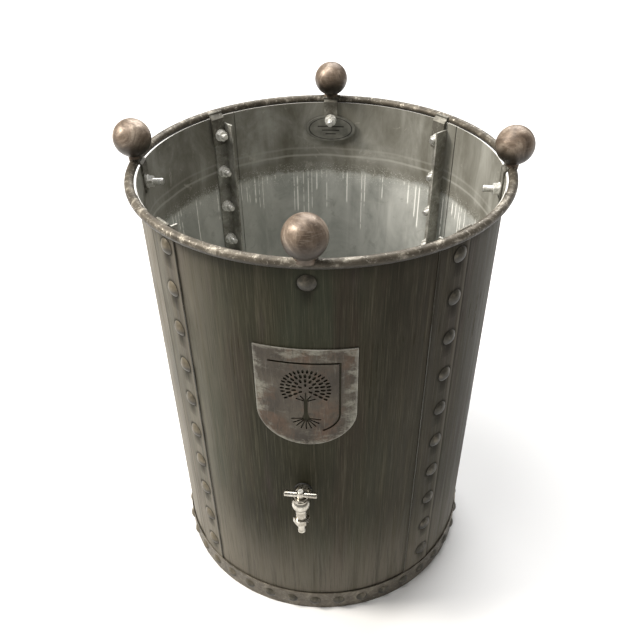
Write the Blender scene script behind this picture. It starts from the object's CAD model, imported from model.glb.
"""Looks of the galvanised water butt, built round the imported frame.  Lengths are in metres."""

import math

import bmesh
import bpy
import numpy as np
from mathutils import Matrix, Quaternion, Vector


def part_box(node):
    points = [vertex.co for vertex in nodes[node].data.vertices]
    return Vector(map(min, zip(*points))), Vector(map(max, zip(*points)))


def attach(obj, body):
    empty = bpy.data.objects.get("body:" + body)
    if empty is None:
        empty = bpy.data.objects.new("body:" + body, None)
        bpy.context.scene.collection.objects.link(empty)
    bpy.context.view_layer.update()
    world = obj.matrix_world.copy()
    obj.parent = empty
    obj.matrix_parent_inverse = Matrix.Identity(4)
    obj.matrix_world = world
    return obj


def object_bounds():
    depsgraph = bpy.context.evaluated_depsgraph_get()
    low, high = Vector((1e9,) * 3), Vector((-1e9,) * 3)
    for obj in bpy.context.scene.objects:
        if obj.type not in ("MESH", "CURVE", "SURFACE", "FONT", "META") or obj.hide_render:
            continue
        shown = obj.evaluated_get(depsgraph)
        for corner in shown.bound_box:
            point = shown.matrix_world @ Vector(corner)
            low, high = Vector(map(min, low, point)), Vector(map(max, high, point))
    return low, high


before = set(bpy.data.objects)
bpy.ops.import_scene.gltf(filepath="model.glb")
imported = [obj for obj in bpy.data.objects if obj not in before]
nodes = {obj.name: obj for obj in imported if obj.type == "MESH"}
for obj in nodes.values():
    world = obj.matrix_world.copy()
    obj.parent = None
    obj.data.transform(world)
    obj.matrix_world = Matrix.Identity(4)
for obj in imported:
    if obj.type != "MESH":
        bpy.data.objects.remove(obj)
cad_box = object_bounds()

SEAMS = ("front_right", "back_right", "back_left", "front_left")
SIDES = ("front", "right", "back", "left")
MM = 0.001
SHEET = 1.2 * MM             # gauge of the wall's sheets


# ---- Places read from the frame
def azimuth_of(point):
    """Angle round the tank from the front (-Y) towards +X."""
    return math.atan2(point.x, -point.y)


def middle(node):
    """Middle of a node's box."""
    low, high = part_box(node)
    return (low + high) / 2


def wall_line():
    """The wall's outer radius at the floor, and how much it grows with each metre of height."""
    points = np.array([v.co for v in nodes["panel_right"].data.vertices])
    radius = np.hypot(points[:, 0], points[:, 1])
    ends = []
    for height in (points[:, 2].min(), points[:, 2].max()):
        level = radius[abs(points[:, 2] - height) < MM]
        ends.append((height, level.min() + SHEET))
    (low, low_radius), (high, high_radius) = ends
    grow = (high_radius - low_radius) / (high - low)
    return low_radius - grow * low, grow


FOOT_RADIUS, WALL_GROW = wall_line()
WALL_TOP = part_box("panel_right")[1].z
HOOP_LOW, HOOP_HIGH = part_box("rim_hoop")
HOOP_BAR = HOOP_HIGH.z - HOOP_LOW.z
HOOP_RADIUS = HOOP_HIGH.x - HOOP_BAR / 2
HOOP_HEIGHT = (HOOP_LOW.z + HOOP_HIGH.z) / 2
SEAM_AZIMUTH = azimuth_of(middle("seam_bolts_front_right"))
BOLT_LOW, BOLT_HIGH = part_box("seam_bolts_front_right")
HEAD_RADIUS = 12.3 * MM
ROWS = 10
ROW_TOP = BOLT_HIGH.z - HEAD_RADIUS
ROW_PITCH = (BOLT_HIGH.z - BOLT_LOW.z - 2 * HEAD_RADIUS) / (ROWS - 1)
FINIAL_AZIMUTH = azimuth_of(middle("ball_finial_front"))
LAP_FRONT = 19 * MM          # from a seam's bolt line to the free edge of the outer sheet
LAP_BACK = 38 * MM           # and back to its joggle
CREST_DROP = 60 * MM         # height of the crest's rounded foot
STAIN_EDGE = 0.600           # height of the edge between the inside's patina and its raw zinc


# ---- Shader building
MIX_COLOURS = (6, 7, 2)      # a Mix node's two inputs and its output, for colours
MIX_NUMBERS = (2, 3, 0)      # and for numbers
WHOLE_TURNS = 8 * math.pi    # added before a modulo, to keep its input positive
DIRT_WANDER = 6 * MM         # how unevenly the dirt round a head is edged
DIRT_RING = 6 * MM           # its reach past the head
DIRT_RUN = 46 * MM           # and its run below the head's middle


class Shader:
    """A material, with short names for the nodes it is built from.  Values may be numbers or sockets."""

    def __init__(self, name):
        self.material = bpy.data.materials.new(name)
        self.material.use_nodes = True
        self.tree = self.material.node_tree
        self.tree.nodes.clear()
        self.output = self.tree.nodes.new("ShaderNodeOutputMaterial")
        self.surface = self.tree.nodes.new("ShaderNodeBsdfPrincipled")
        self.tree.links.new(self.surface.outputs[0], self.output.inputs["Surface"])
        coordinates = self.tree.nodes.new("ShaderNodeTexCoord")
        self.place = coordinates.outputs["Object"]
        self.normal = coordinates.outputs["Normal"]

    def put(self, socket, value):
        if isinstance(value, bpy.types.NodeSocket):
            self.tree.links.new(value, socket)
        elif isinstance(value, (tuple, list)) and len(value) == 3 and len(socket.default_value) == 4:
            socket.default_value = (*value, 1.0)
        else:
            socket.default_value = value

    def node(self, kind, *values, **settings):
        made = self.tree.nodes.new("ShaderNode" + kind)
        for name, value in settings.items():
            setattr(made, name, value)
        for socket, value in zip(made.inputs, values):
            if value is not None:
                self.put(socket, value)
        return made

    def math(self, operation, a, b=None):
        return self.node("Math", a, b, operation=operation).outputs[0]

    def add(self, a, b):
        return self.math("ADD", a, b)

    def sub(self, a, b):
        return self.math("SUBTRACT", a, b)

    def mul(self, a, b):
        return self.math("MULTIPLY", a, b)

    def most(self, a, b):
        return self.math("MAXIMUM", a, b)

    def least(self, a, b):
        return self.math("MINIMUM", a, b)

    def split(self, vector):
        return self.node("SeparateXYZ", vector).outputs

    def join(self, x, y, z):
        return self.node("CombineXYZ", x, y, z).outputs[0]

    def scaled(self, x=1, y=1, z=1, shift=0.0):
        """Place in the object, stretched along each axis, and shifted to another part of the noise."""
        factors = self.node("VectorMath", self.place, (x, y, z), operation="MULTIPLY").outputs[0]
        return self.node("VectorMath", factors, (shift, shift, shift), operation="ADD").outputs[0]

    def noise(self, vector, scale, detail=4.0, rough=0.55, warp=0.0):
        made = self.node("TexNoise", vector)
        made.inputs["Scale"].default_value = scale
        made.inputs["Detail"].default_value = detail
        made.inputs["Roughness"].default_value = rough
        made.inputs["Distortion"].default_value = warp
        return made.outputs["Fac"]

    def cells(self, vector, scale):
        made = self.node("TexVoronoi", vector)
        made.inputs["Scale"].default_value = scale
        return made.outputs["Distance"]

    def fade(self, value, low, high, start=0.0, end=1.0):
        """Smooth step of a value from start at low to end at high."""
        made = self.node("MapRange", value, low, high, start, end, interpolation_type="SMOOTHSTEP")
        return made.outputs[0]

    def mixed(self, kind, sockets, factor, a, b):
        """Mix node; sockets are the numbers of its two inputs and its output, which its kind decides."""
        first, second, result = sockets
        made = self.node("Mix", factor, data_type=kind, clamp_factor=True)
        self.put(made.inputs[first], a)
        self.put(made.inputs[second], b)
        return made.outputs[result]

    def blend(self, factor, a, b):
        """Colour between a and b."""
        return self.mixed("RGBA", MIX_COLOURS, factor, a, b)

    def mix(self, factor, a, b):
        """Number between a and b."""
        return self.mixed("FLOAT", MIX_NUMBERS, factor, a, b)

    def tones(self, value, *stops):
        """Colour ramp of (position, colour) stops."""
        made = self.node("ValToRGB", value)
        ramp = made.color_ramp
        while len(ramp.elements) < len(stops):
            ramp.elements.new(0.5)
        for element, (position, colour) in zip(ramp.elements, stops):
            element.position = position
            element.color = (*colour, 1.0)
        return made.outputs[0]

    def bump(self, height, strength, distance):
        made = self.node("Bump")
        made.inputs["Strength"].default_value = strength
        made.inputs["Distance"].default_value = distance
        self.put(made.inputs["Height"], height)
        return made.outputs[0]

    def length(self, a, b):
        """Distance from two sides at right angles."""
        return self.math("SQRT", self.add(self.mul(a, a), self.mul(b, b)))

    def finish(self, colour, rough, metal, bump=None):
        self.put(self.surface.inputs["Base Color"], colour)
        self.put(self.surface.inputs["Roughness"], rough)
        self.put(self.surface.inputs["Metallic"], metal)
        if bump is not None:
            self.put(self.surface.inputs["Normal"], bump)
        return self.material


class TankShader(Shader):
    """A shader that also knows where a point lies on the tank."""

    def __init__(self, name):
        super().__init__(name)
        self.x, self.y, self.z = self.split(self.place)[0:3]
        back = self.mul(self.y, -1.0)
        self.azimuth = self.math("ARCTAN2", self.x, back)
        self.radius = self.length(self.x, self.y)
        nominal = self.add(self.mul(self.z, WALL_GROW), FOOT_RADIUS)
        self.proud = self.sub(self.radius, nominal)
        level = self.join(self.x, self.y, 0.0)
        self.outward = self.node("VectorMath", self.normal, level, operation="DOT_PRODUCT").outputs["Value"]

    def round_from(self, azimuth, turns):
        """Distance round the wall from the nearest of several evenly spaced azimuths; + is onwards."""
        step = 2 * math.pi / turns
        shifted = self.add(self.sub(self.azimuth, azimuth - step / 2), WHOLE_TURNS)
        inside = self.sub(self.math("MODULO", shifted, step), step / 2)
        return self.mul(inside, self.radius)

    def from_row(self, top, pitch, rows):
        """Height above the nearest of several evenly spaced rows."""
        depth = self.math("DIVIDE", self.sub(top, self.z), pitch)
        row = self.math("ROUND", self.least(self.most(depth, 0.0), rows - 1.0))
        return self.mul(self.sub(row, depth), pitch)

    def bolt_marks(self, across, up, head):
        """A ring of dirt round a head, and the run of dirt below it."""
        wander = self.mul(self.sub(self.noise(self.scaled(), scale=90), 0.5), DIRT_WANDER)
        reach = self.length(across, up)
        ring = self.fade(self.add(reach, wander), head + DIRT_RING, head - 1 * MM)
        below = self.mul(self.fade(up, 0.0, -6 * MM), self.fade(up, -DIRT_RUN, -10 * MM))
        narrow = self.fade(self.math("ABSOLUTE", self.add(across, wander)), head + 2 * MM, 2 * MM)
        return ring, self.mul(below, narrow)


# ---- Materials of the tank
DARK_OLIVE = (0.0170, 0.0160, 0.0080)
OLIVE = (0.032, 0.030, 0.0165)
BROWN = (0.036, 0.027, 0.0175)
PURPLE = (0.036, 0.0275, 0.022)
GREEN_GREY = (0.035, 0.039, 0.024)
PALE_STREAK = (0.105, 0.094, 0.066)
PALE_BROWN = (0.192, 0.172, 0.138)
SOOT = (0.009, 0.008, 0.005)
INNER_DARK = (0.148, 0.140, 0.112)
INNER_GREY = (0.258, 0.252, 0.220)
INNER_PALE = (0.42, 0.415, 0.375)
INNER_BLOOM = (0.52, 0.50, 0.445)
RAW_DARK = (0.34, 0.348, 0.325)
RAW_ZINC = (0.50, 0.508, 0.478)
RAW_PALE = (0.66, 0.665, 0.63)
RAW_BLOOM = (0.30, 0.305, 0.28)
RAW_WASH = (0.68, 0.68, 0.645)
TIDE_LINE = (0.56, 0.55, 0.50)
CUT_EDGE = (0.62, 0.60, 0.56)
CHALK = (0.95, 0.95, 0.90)
FLOOR_TONES = ((0.32, (0.15, 0.148, 0.128)), (0.52, (0.27, 0.268, 0.240)), (0.72, (0.42, 0.42, 0.39)))
FLOOR_RING = (0.50, 0.495, 0.455)
SEDIMENT = (0.060, 0.047, 0.032)
BALL_TONES = ((0.34, (0.082, 0.056, 0.038)), (0.51, (0.205, 0.153, 0.112)), (0.64, (0.44, 0.36, 0.285)))
BALL_ARC = (0.27, 0.225, 0.18)
BALL_DUST = (0.060, 0.044, 0.032)
BALL_UNDER = (0.020, 0.015, 0.010)
HEAD_TONES = ((0.36, (0.030, 0.027, 0.018)), (0.54, (0.070, 0.062, 0.045)), (0.70, (0.15, 0.13, 0.095)))
HEAD_WARM = (0.20, 0.165, 0.11)
SHANK_ZINC = (0.62, 0.61, 0.58)
ZINC_TONES = ((0.34, (0.42, 0.41, 0.36)), (0.48, (0.74, 0.73, 0.69)), (0.64, (0.92, 0.915, 0.88)))
CREST_TONES = ((0.36, (0.030, 0.022, 0.014)), (0.50, (0.048, 0.037, 0.024)), (0.66, (0.068, 0.056, 0.038)))
CREST_RUST = (0.082, 0.044, 0.022)
CREST_PALE = (0.21, 0.205, 0.165)
CREST_SCUFF = (0.026, 0.021, 0.015)
CREST_SCRATCH = (0.16, 0.150, 0.118)
CREST_GRAIN = (0.024, 0.019, 0.013)
CREST_RUBBED = (0.24, 0.23, 0.195)
CREST_RIM = (0.33, 0.32, 0.28)
PLATE_TONES = ((0.35, (0.15, 0.147, 0.128)), (0.7, (0.26, 0.255, 0.225)))
PLATE_MARK = (0.022, 0.021, 0.018)
NICKEL_TONES = ((0.34, (0.30, 0.275, 0.23)), (0.62, (0.60, 0.575, 0.515)))
NICKEL_MARK = (0.17, 0.15, 0.115)
NICKEL_UNDER = (0.10, 0.085, 0.065)

# Levels inside the tank: the dusty band above the stain's edge, and (height, strength) of the tide lines
DUSTY_TOP = 0.632
TIDES = ((0.634, 0.40), (0.648, 0.18), (0.598, 0.25), (0.545, 0.14))
TIDE_WIDTH = 3.2 * MM
DRIP_LANES = 31.0            # places for a drip round the inside
DRIP_LENGTH = 0.125
# Oval plate's marks, as parts of its half width and half height
PLATE_BORDER = 0.86
PLATE_BARS = ((0.16, 0.52), (-0.14, 0.34), (-0.42, 0.20))    # height and half width of each bar


def outside_patina(s):
    """Brushed olive patina: paler on the left and towards the foot, browner on the right."""
    broad = s.noise(s.scaled(z=0.35), scale=7, detail=3)
    patches = s.noise(s.scaled(z=0.22, shift=3.1), scale=17, detail=5, rough=0.6)
    streaks = s.noise(s.scaled(z=0.030, shift=1.7), scale=120, detail=5, rough=0.68)
    lines = s.noise(s.scaled(z=0.014, shift=5.3), scale=520, detail=4, rough=0.75)
    tint = s.noise(s.scaled(z=0.12, shift=8.2), scale=11, detail=3)
    colour = s.tones(broad, (0.32, DARK_OLIVE), (0.52, OLIVE), (0.70, GREEN_GREY))
    right_side = s.fade(s.math("SINE", s.azimuth), 0.20, 0.65)
    brown = s.most(s.fade(tint, 0.48, 0.64), s.mul(right_side, 0.55))
    colour = s.blend(brown, colour, BROWN)
    colour = s.blend(s.fade(patches, 0.58, 0.74), colour, PURPLE)
    left_side = s.fade(s.math("SINE", s.sub(s.azimuth, 0.1)), -0.35, -1.0)
    colour = s.blend(s.mul(left_side, s.fade(patches, 0.30, 0.62, 0.40, 0.95)), colour, PALE_BROWN)
    foot_edge = s.add(s.z, s.mul(s.sub(streaks, 0.5), 0.16))
    colour = s.blend(s.mul(s.fade(foot_edge, 0.26, 0.04), 0.62), colour, PALE_BROWN)
    colour = s.blend(s.mul(s.fade(streaks, 0.52, 0.74), 0.50), colour, PALE_STREAK)
    colour = s.blend(s.mul(s.fade(streaks, 0.48, 0.30), 0.45), colour, DARK_OLIVE)
    runs = s.noise(s.scaled(z=0.020, shift=3.9), scale=58, detail=6, rough=0.72)
    colour = s.blend(s.mul(s.fade(runs, 0.52, 0.66), 0.38), colour, OLIVE)
    colour = s.blend(s.mul(s.fade(lines, 0.50, 0.72), 0.45), colour, PALE_STREAK)
    colour = s.blend(s.mul(s.fade(lines, 0.50, 0.32), 0.40), colour, SOOT)
    relief = s.add(s.mul(lines, 0.5), s.add(s.mul(streaks, 0.3), s.mul(broad, 1.4)))
    return colour, streaks, relief


def outside_grime(s):
    """Dirt round and below each head, along the laps and at the joggles, and the worn edge of the laps."""
    across = s.round_from(SEAM_AZIMUTH, len(SEAMS))
    ring, run = s.bolt_marks(across, s.from_row(ROW_TOP, ROW_PITCH, ROWS), HEAD_RADIUS)
    top_across = s.round_from(FINIAL_AZIMUTH, len(SIDES))
    top_ring, top_run = s.bolt_marks(top_across, s.sub(s.z, ROW_TOP), HEAD_RADIUS)
    grime = s.most(s.mul(s.most(ring, top_ring), 0.85), s.mul(s.most(run, top_run), 0.75))
    lap = s.sub(across, LAP_FRONT)
    lap_line = s.mul(s.fade(lap, -2 * MM, 0.5 * MM), s.fade(lap, 9 * MM, 0.5 * MM))
    joggle_line = s.fade(s.math("ABSOLUTE", s.add(across, LAP_BACK)), 6 * MM, 0.5 * MM)
    under_hoop = s.mul(s.fade(s.z, WALL_TOP - 34 * MM, WALL_TOP - 4 * MM), 0.45)
    grime = s.most(s.most(grime, under_hoop), s.most(s.mul(lap_line, 0.7), s.mul(joggle_line, 0.35)))
    worn = s.mul(s.fade(lap, -9 * MM, -1 * MM), s.fade(lap, 0.6 * MM, -0.2 * MM))
    return grime, worn


def drips(s, edge):
    """Chalky runs of uneven length and width below an edge, in groups round the inside."""
    turned = s.mul(s.azimuth, DRIP_LANES)
    chance = s.node("TexWhiteNoise", noise_dimensions="1D")
    s.put(chance.inputs["W"], s.math("FLOOR", turned))
    luck = chance.outputs["Value"]
    sway = s.mul(s.sub(s.noise(s.scaled(x=6, y=6, z=12), scale=6, detail=2), 0.5), 0.10)
    off_line = s.math("ABSOLUTE", s.add(s.sub(s.math("FRACT", turned), s.mix(luck, 0.25, 0.75)), sway))
    wide = s.mix(s.math("FRACT", s.mul(luck, 7.0)), 0.08, 0.20)
    grouped = s.fade(s.noise(s.scaled(z=0, shift=6.6), scale=4.2, detail=2), 0.30, 0.46, 0.25, 1.0)
    length = s.mul(s.mul(s.fade(s.math("FRACT", s.mul(luck, 13.0)), 0.25, 1.0), DRIP_LENGTH), grouped)
    low = s.sub(edge, length)
    down = s.mul(s.fade(s.z, low, s.add(low, 0.008)), s.fade(s.z, edge + 0.006, edge - 0.008))
    patchy = s.fade(s.noise(s.scaled(shift=4.4), scale=60), 0.34, 0.50)
    return s.mul(s.mul(s.fade(s.math("DIVIDE", off_line, wide), 1.0, 0.55), down), patchy)


def inside_stain(s):
    """Inside: mottled patina down to a dusty edge, then raw zinc with tide lines, drips and bloom."""
    mottle = s.noise(s.scaled(z=0.55, shift=2.2), scale=15, detail=7, rough=0.64, warp=0.5)
    wash = s.noise(s.scaled(z=0.06, shift=1.2), scale=48, detail=5, rough=0.62)
    bloom = s.noise(s.scaled(shift=7.7), scale=34, detail=6, rough=0.7, warp=0.8)
    fine = s.noise(s.scaled(shift=2.4), scale=420, detail=3, rough=0.7)
    level = s.add(s.z, s.mul(s.sub(s.noise(s.scaled(z=0, shift=9.1), scale=3.2, detail=3), 0.5), 0.030))
    high_colour = s.tones(mottle, (0.34, INNER_DARK), (0.54, INNER_GREY), (0.74, INNER_PALE))
    high_colour = s.blend(s.mul(s.fade(wash, 0.52, 0.72), 0.30), high_colour, INNER_PALE)
    high_colour = s.blend(s.mul(s.fade(bloom, 0.60, 0.70), 0.55), high_colour, INNER_BLOOM)
    raw = s.tones(mottle, (0.32, RAW_DARK), (0.52, RAW_ZINC), (0.72, RAW_PALE))
    raw = s.blend(s.mul(s.fade(bloom, 0.46, 0.34), 0.4), raw, RAW_BLOOM)
    raw = s.blend(s.mul(s.fade(wash, 0.50, 0.74), 0.45), raw, RAW_WASH)
    dusty = s.add(level, s.add(s.mul(s.sub(bloom, 0.5), 0.040), s.mul(s.sub(fine, 0.5), 0.030)))
    high = s.fade(dusty, STAIN_EDGE - 0.005, STAIN_EDGE + 0.006)
    colour = s.blend(high, raw, high_colour)
    band = s.mul(s.fade(level, STAIN_EDGE, STAIN_EDGE + 0.010), s.fade(level, DUSTY_TOP, DUSTY_TOP - 0.010))
    colour = s.blend(s.mul(band, 0.35), colour, INNER_DARK)
    for tide_height, strength in TIDES:
        tide = s.fade(s.math("ABSOLUTE", s.sub(level, tide_height)), TIDE_WIDTH, 0.6 * MM)
        colour = s.blend(s.mul(tide, strength), colour, TIDE_LINE)
    drip = drips(s, STAIN_EDGE)
    colour = s.blend(drip, colour, CHALK)
    below_edge = s.fade(level, STAIN_EDGE - 0.040, STAIN_EDGE)
    near_edge = s.mul(below_edge, s.fade(level, STAIN_EDGE + 0.026, STAIN_EDGE))
    speckle = s.mul(s.fade(fine, 0.55, 0.66), near_edge)
    colour = s.blend(s.mul(speckle, 0.65), colour, CHALK)
    return colour, high, drip, mottle, s.add(s.mul(mottle, 1.2), s.mul(bloom, 0.5))


def sheet_material():
    """Wall sheets: patina outside, stain inside, and a bare metal edge at the top."""
    s = TankShader("zinc_sheet")
    outer_colour, streaks, outer_relief = outside_patina(s)
    grime, worn = outside_grime(s)
    outer_colour = s.blend(grime, outer_colour, SOOT)
    outer_colour = s.blend(s.mul(worn, 0.30), outer_colour, PALE_BROWN)
    inner_colour, high, drip, mottle, inner_relief = inside_stain(s)
    out = s.fade(s.outward, -0.02, 0.02)
    colour = s.blend(out, inner_colour, outer_colour)
    top_edge = s.fade(s.split(s.normal)[2], 0.80, 0.95)
    colour = s.blend(top_edge, colour, CUT_EDGE)
    rough_out = s.mix(s.fade(streaks, 0.3, 0.7), 0.46, 0.62)
    rough_in = s.mix(s.fade(mottle, 0.3, 0.7), 0.40, 0.58)
    rough = s.mix(s.most(s.mul(grime, out), drip), s.mix(out, rough_in, rough_out), 0.8)
    metal = s.mul(s.mix(out, s.mix(high, 0.30, 0.15), 0.06), s.sub(1.0, drip))
    s.put(s.surface.inputs["Specular IOR Level"], 0.1)
    return s.finish(colour, rough, metal, s.bump(s.mix(out, inner_relief, outer_relief), 0.35, 1.1 * MM))


def bar_material(name, tones, shade):
    """Galvanised bar: mottled, pitted, rubbed bright on its high patches, and dirtier underneath."""
    dark, light, wear = tones
    s = TankShader(name)
    mottle = s.noise(s.scaled(shift=2.0), scale=38, detail=6, rough=0.65, warp=0.6)
    spots = s.noise(s.scaled(shift=9.0), scale=190, detail=6, rough=0.72, warp=0.5)
    pits = s.cells(s.scaled(shift=4.0), 210)
    colour = s.tones(mottle, (0.34, dark), (0.56, light), (0.74, wear))
    colour = s.blend(s.mul(s.fade(spots, 0.56, 0.68), 0.8), colour, wear)
    colour = s.blend(s.mul(s.fade(spots, 0.44, 0.32), 0.7), colour, dark)
    under = s.fade(s.split(s.normal)[2], 0.35, -0.55)
    colour = s.blend(s.mul(under, shade), colour, dark)
    colour = s.blend(s.mul(under, 0.6 * shade), colour, SOOT)
    rough = s.mix(s.fade(spots, 0.35, 0.70), 0.58, 0.38)
    relief = s.add(mottle, s.add(s.mul(spots, 0.6), s.mul(s.fade(pits, 0.0, 0.35), 0.25)))
    return s.finish(colour, rough, 0.35, s.bump(relief, 0.6, 1.0 * MM))


def floor_plate_material():
    """Raw zinc floor inside the tank, with brown sediment that gathers round the edge."""
    s = TankShader("floor_plate")
    mottle = s.noise(s.scaled(shift=2.6), scale=11, detail=6, rough=0.62, warp=0.6)
    grit = s.noise(s.scaled(shift=6.1), scale=260, detail=5, rough=0.7)
    rings = s.noise(s.join(s.radius, 0.0, 0.0), scale=42, detail=3, rough=0.6)
    colour = s.tones(mottle, *FLOOR_TONES)
    colour = s.blend(s.mul(s.fade(rings, 0.50, 0.64), 0.25), colour, FLOOR_RING)
    uneven = s.add(s.radius, s.mul(s.sub(mottle, 0.5), 0.10))
    near_wall = s.fade(uneven, FOOT_RADIUS - 0.075, FOOT_RADIUS - 0.010)
    sediment = s.most(s.mul(near_wall, 0.8), s.mul(s.fade(grit, 0.54, 0.66), 0.5))
    colour = s.blend(sediment, colour, SEDIMENT)
    rough = s.mix(sediment, 0.46, 0.82)
    return s.finish(colour, rough, 0.15, s.bump(s.add(mottle, s.mul(grit, 0.4)), 0.4, 0.8 * MM))


def ball_material():
    """Cast balls: warm brown, swirled, dusty, with darker undersides."""
    s = Shader("cast_ball")
    swirl = s.noise(s.scaled(shift=1.0), scale=24, detail=6, rough=0.64, warp=1.6)
    arcs = s.noise(s.scaled(x=0.5, y=0.5, z=3.2, shift=6.0), scale=120, detail=4, rough=0.6, warp=0.8)
    dust = s.noise(s.scaled(shift=3.0), scale=300, detail=4, rough=0.7)
    colour = s.tones(swirl, *BALL_TONES)
    colour = s.blend(s.mul(s.fade(arcs, 0.52, 0.70), 0.45), colour, BALL_ARC)
    colour = s.blend(s.mul(s.fade(dust, 0.54, 0.66), 0.45), colour, BALL_DUST)
    under = s.fade(s.split(s.normal)[2], 0.45, -0.45)
    colour = s.blend(s.mul(under, 0.9), colour, BALL_UNDER)
    rough = s.mix(s.fade(swirl, 0.35, 0.70), 0.46, 0.34)
    relief = s.add(swirl, s.add(s.mul(arcs, 0.35), s.mul(dust, 0.2)))
    return s.finish(colour, rough, 0.35, s.bump(relief, 0.45, 1.0 * MM))


def head_material():
    """Cup heads outside the wall, and the zinc ends of their shanks inside it."""
    s = TankShader("cup_heads")
    mottle = s.noise(s.scaled(shift=5.0), scale=90, detail=6, rough=0.66)
    tint = s.noise(s.scaled(z=0.5, shift=7.0), scale=14, detail=3)
    colour = s.tones(mottle, *HEAD_TONES)
    warm = s.mul(s.fade(s.math("SINE", s.azimuth), -0.30, -0.80), s.fade(tint, 0.35, 0.6, 0.45, 1.0))
    colour = s.blend(s.mul(warm, 0.55), colour, HEAD_WARM)
    under = s.fade(s.split(s.normal)[2], 0.25, -0.25)
    colour = s.blend(s.mul(under, 0.7), colour, SOOT)
    inner = s.fade(s.proud, -0.2 * MM, -1.2 * MM)
    colour = s.blend(inner, colour, SHANK_ZINC)
    rough = s.mix(inner, s.mix(mottle, 0.58, 0.38), 0.30)
    metal = s.mix(inner, 0.35, 0.75)
    return s.finish(colour, rough, metal, s.bump(mottle, 0.5, 0.7 * MM))


def zinc_material():
    """Nuts, washers and thread ends: bright zinc with dull stains."""
    s = Shader("bright_zinc")
    stain = s.noise(s.scaled(shift=5.0), scale=160, detail=5, rough=0.66)
    colour = s.tones(stain, *ZINC_TONES)
    rough = s.mix(s.fade(stain, 0.35, 0.65), 0.44, 0.24)
    return s.finish(colour, rough, 0.45, s.bump(stain, 0.25, 0.3 * MM))


def crest_material():
    """Pierced shield: brown-grey with rust, pale rubbed patches and a bright edge."""
    s = TankShader("crest_steel")
    low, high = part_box("crest_shield")
    half = (high.x - low.x) / 2
    shoulder = low.z + CREST_DROP
    from_middle = s.sub(s.x, (high.x + low.x) / 2)
    sideways = s.math("ABSOLUTE", from_middle)
    upper = s.least(s.sub(half, sideways), s.sub(high.z, s.z))
    flat = s.math("DIVIDE", from_middle, half)
    drop = s.math("DIVIDE", s.sub(s.z, shoulder), shoulder - low.z)
    round_edge = s.mul(s.sub(1.0, s.length(flat, drop)), half)
    edge = s.mix(s.math("GREATER_THAN", s.z, shoulder), round_edge, upper)
    scuff = s.noise(s.scaled(shift=11.0), scale=30, detail=6, rough=0.68, warp=0.8)
    cloud = s.noise(s.scaled(shift=4.0), scale=12, detail=3)
    grain = s.noise(s.scaled(z=0.3, shift=6.0), scale=320, detail=3)
    wipe = s.noise(s.scaled(x=0.6, z=1.4, shift=9.0), scale=44, detail=7, rough=0.72, warp=0.3)
    colour = s.tones(cloud, *CREST_TONES)
    rust = s.noise(s.scaled(z=0.8, shift=15.0), scale=18, detail=6, rough=0.68, warp=0.4)
    colour = s.blend(s.mul(s.fade(rust, 0.48, 0.64), 0.75), colour, CREST_RUST)
    near = s.fade(edge, 26 * MM, 4 * MM)
    pale = s.mul(s.fade(s.add(wipe, s.mul(near, 0.10)), 0.54, 0.72), s.mix(near, 0.35, 0.85))
    colour = s.blend(pale, colour, CREST_PALE)
    colour = s.blend(s.mul(s.fade(scuff, 0.44, 0.32), 0.6), colour, CREST_SCUFF)
    scratches = s.noise(s.scaled(z=0.08, shift=2.9), scale=300, detail=4, rough=0.75)
    colour = s.blend(s.mul(s.fade(scratches, 0.54, 0.70), 0.40), colour, CREST_SCRATCH)
    colour = s.blend(s.mul(s.fade(grain, 0.50, 0.34), 0.45), colour, CREST_GRAIN)
    rubbed = s.fade(s.add(edge, s.mul(s.sub(scuff, 0.5), 0.030)), 4 * MM, 0.0)
    colour = s.blend(s.mul(rubbed, 0.45), colour, CREST_RUBBED)
    rim = s.mul(s.fade(edge, 1.0 * MM, 0.3 * MM), s.fade(wipe, 0.38, 0.58, 0.25, 0.9))
    colour = s.blend(rim, colour, CREST_RIM)
    rough = s.mix(s.fade(scuff, 0.35, 0.65), 0.55, 0.38)
    relief = s.add(scuff, s.mul(grain, 0.2))
    return s.finish(colour, rough, 0.35, s.bump(relief, 0.3, 0.6 * MM))


def plate_material():
    """Blank oval plate with a plain border and three short bars."""
    s = TankShader("plate_steel")
    low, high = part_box("maker_plate")
    centre = (low + high) / 2
    back = azimuth_of(centre)
    turned = s.add(s.sub(s.azimuth, back), WHOLE_TURNS)
    wrapped = s.sub(s.math("MODULO", s.add(turned, math.pi), 2 * math.pi), math.pi)
    across = s.mul(wrapped, s.radius)
    up = s.sub(s.z, centre.z)
    u = s.math("DIVIDE", across, (high.x - low.x) / 2)
    v = s.math("DIVIDE", up, (high.z - low.z) / 2)
    marks = s.fade(s.math("ABSOLUTE", s.sub(s.length(u, v), PLATE_BORDER)), 0.035, 0.015)
    for bar_up, bar_half in PLATE_BARS:
        level = s.fade(s.math("ABSOLUTE", s.sub(v, bar_up)), 0.060, 0.040)
        wide = s.fade(s.math("ABSOLUTE", u), bar_half + 0.02, bar_half)
        marks = s.most(marks, s.mul(level, wide))
    stain = s.noise(s.scaled(shift=3.0), scale=60, detail=5, rough=0.6)
    colour = s.tones(stain, *PLATE_TONES)
    colour = s.blend(s.mul(marks, 0.85), colour, PLATE_MARK)
    rough = s.mix(marks, 0.36, 0.6)
    relief = s.sub(s.mul(stain, 0.2), marks)
    return s.finish(colour, rough, 0.4, s.bump(relief, 0.5, 0.25 * MM))


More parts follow.
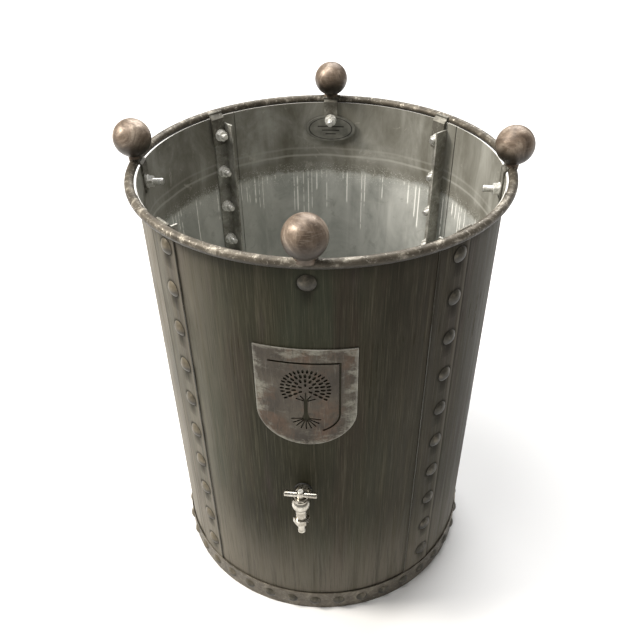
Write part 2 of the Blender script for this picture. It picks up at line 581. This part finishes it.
def nickel_material():
    """Tap: nickel plate with dull marks, dirtier underneath."""
    s = Shader("tap_nickel")
    cloud = s.noise(s.scaled(shift=2.0), scale=60, detail=4, rough=0.6)
    marks = s.noise(s.scaled(shift=8.0), scale=420, detail=4, rough=0.65)
    colour = s.tones(cloud, *NICKEL_TONES)
    colour = s.blend(s.mul(s.fade(marks, 0.56, 0.70), 0.6), colour, NICKEL_MARK)
    under = s.fade(s.split(s.normal)[2], 0.0, -0.7)
    colour = s.blend(s.mul(under, 0.6), colour, NICKEL_UNDER)
    rough = s.mix(s.fade(marks, 0.40, 0.70), 0.20, 0.38)
    return s.finish(colour, rough, 1.0, s.bump(s.add(cloud, s.mul(marks, 0.3)), 0.18, 0.4 * MM))


def plain_material(name, dark, light, rough, metal, scale):
    """Small hidden pieces: two tones of the same stuff with a fine grain."""
    s = Shader(name)
    grain = s.noise(s.scaled(), scale=scale, detail=4)
    colour = s.blend(s.fade(grain, 0.35, 0.65), dark, light)
    return s.finish(colour, s.mix(grain, rough, rough + 0.15), metal, s.bump(grain, 0.2, 0.2 * MM))


def paint(names, material):
    """Give nodes of the frame their finish."""
    for name in names:
        slots = nodes[name].data.materials
        slots.clear()
        slots.append(material)


BAR_LOOKS = {                # dark, light and worn colours, and how dirty the undersides are
    "angle_steel": (((0.19, 0.184, 0.158), (0.36, 0.352, 0.315), (0.60, 0.59, 0.54)), 0.3),
    "strap_steel": (((0.085, 0.078, 0.062), (0.19, 0.180, 0.152), (0.44, 0.43, 0.38)), 0.5),
    "hoop_steel": (((0.040, 0.032, 0.021), (0.105, 0.089, 0.066), (0.56, 0.515, 0.43)), 1.0),
    "band_steel": (((0.075, 0.064, 0.047), (0.155, 0.134, 0.102), (0.30, 0.27, 0.215)), 0.5),
}
SEAL_BLACK, SEAL_GREY = (0.012, 0.012, 0.012), (0.03, 0.03, 0.03)
BRASS_DARK, BRASS_LIGHT = (0.45, 0.32, 0.14), (0.62, 0.47, 0.24)
SEAT_DARK, SEAT_LIGHT = (0.72, 0.71, 0.68), (0.82, 0.81, 0.78)

zinc = zinc_material()
bars = {name: bar_material(name, *looks) for name, looks in BAR_LOOKS.items()}
nickel = nickel_material()
crest_steel = crest_material()
rubber = plain_material("seal_rubber", SEAL_BLACK, SEAL_GREY, rough=0.6, metal=0.0, scale=900)
brass = plain_material("valve_brass", BRASS_DARK, BRASS_LIGHT, rough=0.25, metal=1.0, scale=300)
plastic = plain_material("seat_plastic", SEAT_DARK, SEAT_LIGHT, rough=0.4, metal=0.0, scale=500)

paint([f"panel_{side}" for side in SIDES], sheet_material())
paint(["rim_hoop"], bars["hoop_steel"])
paint(["base_band"], bars["band_steel"])
paint(["base_plate"], floor_plate_material())
paint([f"seam_angle_{seam}" for seam in SEAMS], bars["angle_steel"])
paint([f"rim_strap_{seam}" for seam in SEAMS], bars["strap_steel"])
paint([f"finial_strap_{side}" for side in SIDES], bars["strap_steel"])
paint([f"ball_finial_{side}" for side in SIDES], ball_material())
paint([f"seam_bolts_{seam}" for seam in SEAMS] + ["finial_bolts", "base_bolts"], head_material())
paint([f"seam_{kind}_{seam}" for kind in ("nuts", "washers") for seam in SEAMS], zinc)
paint(["finial_nuts", "finial_washers", "base_nuts"], zinc)
paint(["crest_shield", "crest_rivets"], crest_steel)
paint(["maker_plate"], plate_material())
paint(["tap_body", "tap_handle", "gland_nut", "valve_ball"], nickel)
paint(["union_nut", "hose_tail", "tap_back_nut"], nickel)
paint(["handle_screw"], zinc)
paint(["valve_stem"], brass)
paint(["valve_seats"], plastic)
paint(["tap_seal_outer", "tap_seal_inner", "hose_washer"], rubber)


# ---- Details that ride on the tank
THREAD_PITCH = 1.5 * MM
THREAD_STEPS = 14            # points round one turn of the ridge
THREAD_RIDGE = ((4.9, -0.72), (5.35, -0.1), (5.35, 0.1), (4.9, 0.72))    # radius and shift along it, in mm
# Depths below the wall's outer face, in mm: where the threads leave the nuts, and where they end
SEAM_START, SEAM_START_TOP, SEAM_END = 14.4, 17.4, 23.8
FINIAL_STARTS, FINIAL_END = (14.3, 14.3, 16.2, 14.3), 29.3
# Weld lumps: how uneven they are, their size, their spacing, and where they lie from the hoop's centre line
LUMP_WAVES = ((0.16, 2.4), (0.10, 5.1))    # depth of each wave, and its angle from lump to lump
STRAP_LUMP, STRAP_LUMP_PITCH = 2.0 * MM, 2.1 * MM
STRAP_INWARD, STRAP_RISE = 6.9 * MM, 4.3 * MM
SEAM_STRAP_ENDS = (-10.5 * MM, 14.3 * MM)
FINIAL_STRAP_ENDS = (-12 * MM, 12 * MM)
SKIRT_LUMP, SKIRT_LUMPS = 1.3 * MM, 30
SKIRT_ALONG, SKIRT_INWARD, SKIRT_SUNK = 15.2 * MM, 6.3 * MM, 0.4 * MM


def wall_spot(azimuth, height, depth):
    """A point inside the wall's outer face, with the directions out of the wall, round it and up it."""
    level = Vector((math.sin(azimuth), -math.cos(azimuth), 0))
    around = Vector((math.cos(azimuth), math.sin(azimuth), 0))
    out = (level - Vector((0, 0, WALL_GROW))).normalized()
    point = level * (FOOT_RADIUS + WALL_GROW * height) + Vector((0, 0, height)) - out * depth
    return point, out, around, around.cross(-out)


def add_piece(name, mesh, material):
    """One finished mesh, in the row frame, that rides on the tank."""
    mesh.materials.append(material)
    piece = bpy.data.objects.new(name, mesh)
    bpy.context.scene.collection.objects.link(piece)
    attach(piece, "tank")


def thread_points(spot, start, end):
    """Rows of points along a helical ridge round a shank, from one depth to another, both in mm."""
    azimuth, height = spot
    point, out, around, up = wall_spot(azimuth, height, start * MM)
    steps = round((end - start) * MM / THREAD_PITCH * THREAD_STEPS)
    for step in range(steps + 1):
        angle = 2 * math.pi * step / THREAD_STEPS
        spoke = around * math.cos(angle) + up * math.sin(angle)
        centre = point - out * (THREAD_PITCH * step / THREAD_STEPS)
        for radius, shift in THREAD_RIDGE:
            yield centre + spoke * (radius * MM) - out * (shift * MM)


def threads(name, spots):
    """Threaded ends of a group of bolts, as one mesh; a spot is a place with the ridge's two depths."""
    points = []
    faces = []
    for place, start, end in spots:
        first = len(points)
        points.extend(thread_points(place, start, end))
        row_length = len(THREAD_RIDGE)
        for corner in range(first, len(points) - row_length, row_length):
            quads = range(corner, corner + row_length - 1)
            faces.extend((i, i + 1, i + row_length + 1, i + row_length) for i in quads)
    mesh = bpy.data.meshes.new(name)
    mesh.from_pydata(points, [], faces)
    for face in mesh.polygons:
        face.use_smooth = True
    add_piece(name, mesh, zinc)


def weld(name, lines, material):
    """Weld beads: short chains of overlapping round lumps; a line is its points and the lump's size."""
    shape = bmesh.new()
    for points, size in lines:
        for index, point in enumerate(points):
            lump = size * sum((deep * math.sin(rate * index) for deep, rate in LUMP_WAVES), 1)
            place = Matrix.Translation(point) @ Matrix.Scale(lump, 4)
            bmesh.ops.create_icosphere(shape, subdivisions=2, radius=1.0, matrix=place)
    for face in shape.faces:
        face.smooth = True
    mesh = bpy.data.meshes.new(name)
    shape.to_mesh(mesh)
    shape.free()
    add_piece(name, mesh, material)


def hoop_spot(azimuth, along, inward, rise):
    """A point given from the hoop's centre line: along it, in towards the tank's axis, and up."""
    turned = azimuth + along / HOOP_RADIUS
    radius = HOOP_RADIUS - inward
    return Vector((radius * math.sin(turned), -radius * math.cos(turned), HOOP_HEIGHT + rise))


def strap_weld(azimuth, left, right):
    """Bead along the top of a strap, where it meets the hoop."""
    count = round((right - left) / STRAP_LUMP_PITCH)
    steps = [left + (right - left) * i / count for i in range(count + 1)]
    return [hoop_spot(azimuth, along, STRAP_INWARD, STRAP_RISE) for along in steps], STRAP_LUMP


def skirt_weld(azimuth):
    """Bead round the foot of a finial, lying on top of the hoop."""
    points = []
    for step in range(SKIRT_LUMPS):
        angle = 2 * math.pi * step / SKIRT_LUMPS
        inward = SKIRT_INWARD * math.sin(angle)
        rise = math.sqrt((HOOP_BAR / 2) ** 2 - inward ** 2) - SKIRT_SUNK
        points.append(hoop_spot(azimuth, SKIRT_ALONG * math.cos(angle), inward, rise))
    return points, SKIRT_LUMP


quarters = [math.pi / 2 * turn for turn in range(4)]
for seam, quarter in zip(SEAMS, quarters):
    spots = [(SEAM_AZIMUTH + quarter, ROW_TOP - ROW_PITCH * row) for row in range(ROWS)]
    starts = [SEAM_START_TOP] + [SEAM_START] * (ROWS - 1)
    threads(f"threads_{seam}", [(spot, start, SEAM_END) for spot, start in zip(spots, starts)])
spots = [(FINIAL_AZIMUTH + quarter, ROW_TOP) for quarter in quarters]
threads("threads_finials", [(spot, start, FINIAL_END) for spot, start in zip(spots, FINIAL_STARTS)])
strap_lines = [strap_weld(SEAM_AZIMUTH + quarter, *SEAM_STRAP_ENDS) for quarter in quarters]
strap_lines += [strap_weld(FINIAL_AZIMUTH + quarter, *FINIAL_STRAP_ENDS) for quarter in quarters]
skirt_lines = [skirt_weld(FINIAL_AZIMUTH + quarter) for quarter in quarters]
weld("strap_welds", strap_lines, bars["strap_steel"])
weld("finial_welds", skirt_lines, bars["hoop_steel"])


# ---- Studio
FLOOR_SIZE = 24
FLOOR_DULL, FLOOR_PALE = (0.86, 0.86, 0.86), (0.89, 0.89, 0.89)
WARM_WHITE, SOFT_WHITE, WHITE = (1.0, 0.95, 0.875), (1.0, 0.985, 0.96), (1.0, 1.0, 1.0)
SKY_COLOUR, SKY_STRENGTH = (1.0, 0.975, 0.935, 1), 0.30
# The photograph's viewpoint, found from the rim, the finials and the bolt rows
CAMERA_AZIMUTH = math.radians(5.4)
CAMERA_REACH, CAMERA_HEIGHT = 1.0531, 1.2118
CAMERA_AIM = (-0.0037, 0, 0.4461)
CAMERA_ROLL = math.radians(-0.55)
LENS, SENSOR = 42.04, 36


def floor():
    """Plain pale floor at the foot of the tank."""
    s = Shader("studio_floor")
    haze = s.noise(s.scaled(), scale=1.5, detail=2)
    s.finish(s.blend(haze, FLOOR_DULL, FLOOR_PALE), 0.8, 0.0)
    bpy.ops.mesh.primitive_plane_add(size=FLOOR_SIZE, location=(0, 0, cad_box[0][2]))
    ground = bpy.context.object
    ground.name = "studio_floor"
    ground.data.materials.append(s.material)


def area_light(name, place, target, size, power, colour):
    """Round soft light that points at a target."""
    light = bpy.data.lights.new(name, "AREA")
    light.shape = "DISK"
    light.size = size
    light.energy = power
    light.color = colour
    lamp = bpy.data.objects.new(name, light)
    lamp.location = place
    lamp.rotation_mode = "QUATERNION"
    lamp.rotation_quaternion = (Vector(target) - Vector(place)).to_track_quat("-Z", "Y")
    bpy.context.scene.collection.objects.link(lamp)


def studio():
    """A key light from the left, a soft one from above, and a wash on the floor behind."""
    target = (0, 0, cad_box[1][2] / 2)
    area_light("key_left", (-2.6, -0.35, 2.9), target, size=1.0, power=145, colour=WARM_WHITE)
    area_light("top_soft", (-0.9, -0.3, 3.7), target, size=2.0, power=90, colour=SOFT_WHITE)
    area_light("back_wash", (0.6, 4.2, 4.6), (0, 3.0, 0), size=5.0, power=420, colour=WHITE)
    world = bpy.data.worlds.new("studio")
    world.use_nodes = True
    background = world.node_tree.nodes["Background"]
    background.inputs["Color"].default_value = SKY_COLOUR
    background.inputs["Strength"].default_value = SKY_STRENGTH
    bpy.context.scene.world = world


def camera():
    """The photograph's viewpoint: above the front, a little to the right of the tap."""
    turn = Quaternion((0, 0, 1), CAMERA_AZIMUTH)
    lens = bpy.data.cameras.new("camera")
    lens.lens = LENS
    lens.sensor_width = SENSOR
    eye = bpy.data.objects.new("camera", lens)
    eye.location = turn @ Vector((0, -CAMERA_REACH, CAMERA_HEIGHT))
    eye.rotation_mode = "QUATERNION"
    gaze = (turn @ Vector(CAMERA_AIM) - eye.location).to_track_quat("-Z", "Y")
    eye.rotation_quaternion = gaze @ Quaternion((0, 0, 1), CAMERA_ROLL)
    bpy.context.scene.collection.objects.link(eye)
    bpy.context.scene.camera = eye


floor()
studio()
camera()
bpy.context.scene.view_settings.view_transform = "Standard"
